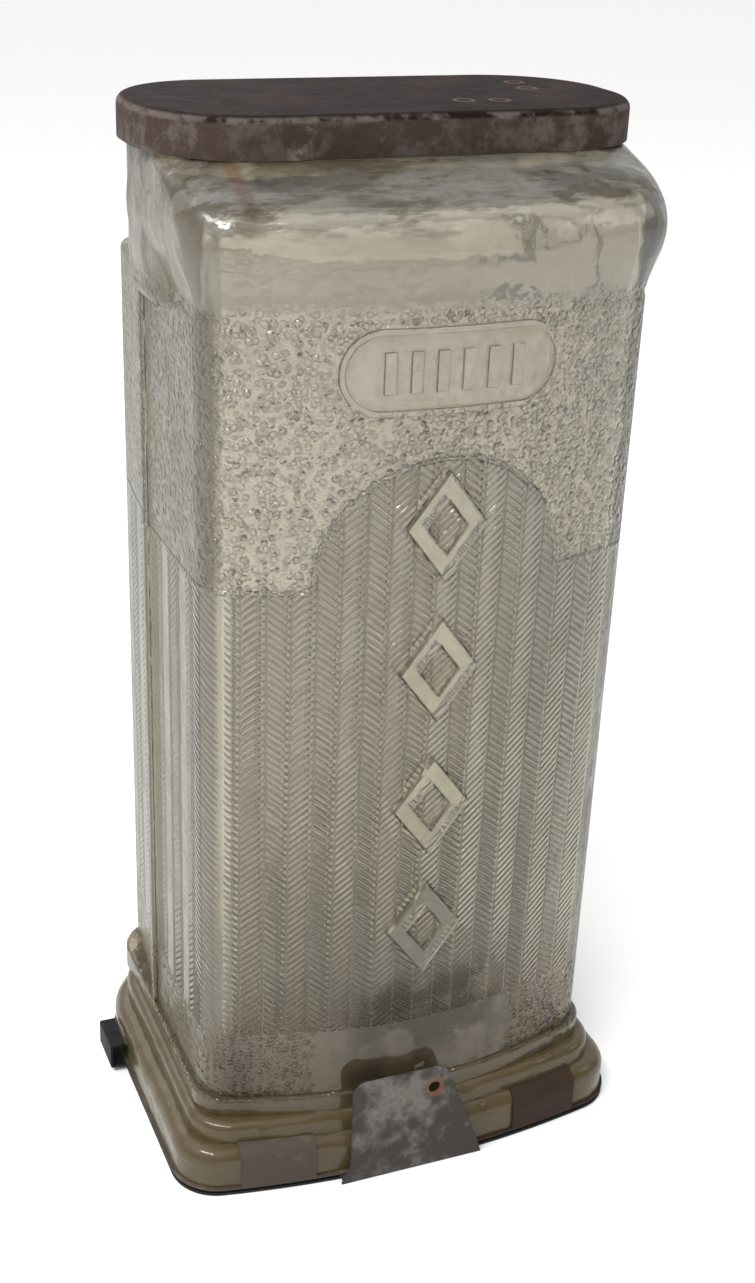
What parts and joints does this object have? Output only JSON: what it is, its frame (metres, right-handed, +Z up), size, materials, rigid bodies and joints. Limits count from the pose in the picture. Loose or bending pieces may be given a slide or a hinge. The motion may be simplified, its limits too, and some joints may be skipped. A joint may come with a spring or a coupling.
{
  "type": "glass mail box",
  "caption": "Wall letter box: tall bow-fronted pressed-glass body on a stepped foot, hinged steel lid, and a drop-down steel bottom door with a front latch tongue.",
  "frame": {"origin": "underside of the bottom door, on the centre plane and midway between the bowed front's apex and the flat glass back", "axes": "+X to the right seen from the front, -Y out of the bowed front, +Y to the wall, +Z up"},
  "size_m": [0.162, 0.127, 0.3184],
  "materials": {
    "glass": "warm grey pressed glass with pebbled and herringbone relief",
    "lid_steel": "dark brown oxidised sheet steel",
    "base_steel": "dull grey galvanised sheet with rust",
    "dark_steel": "blackened sheet steel",
    "pin_steel": "drawn wire, dulled"
  },
  "bodies": {
    "box": {"glass_body": "glass", "base_frame": "base_steel", "door_hinge_pin": "pin_steel", "rim_collar": "dark_steel", "lid_hinge_pin": "pin_steel"},
    "lid": {"lid_shell": "lid_steel", "lid_hinge_strap": "lid_steel", "strap_rivets": "lid_steel"},
    "door": {"bottom_door": "dark_steel", "latch_tongue": "base_steel", "tongue_rivets": "base_steel"}
  },
  "joints": [
    {"name": "lid_hinge", "type": "hinge", "parent": "box", "child": "lid", "pos_m": [0, 0.0396, 0.3095], "axis": [-1, 0, 0], "range_deg": [0, 95]},
    {"name": "door_hinge", "type": "hinge", "parent": "box", "child": "door", "pos_m": [0, 0.06, 0.0022], "axis": [1, 0, 0], "range_deg": [0, 90]}
  ]
}
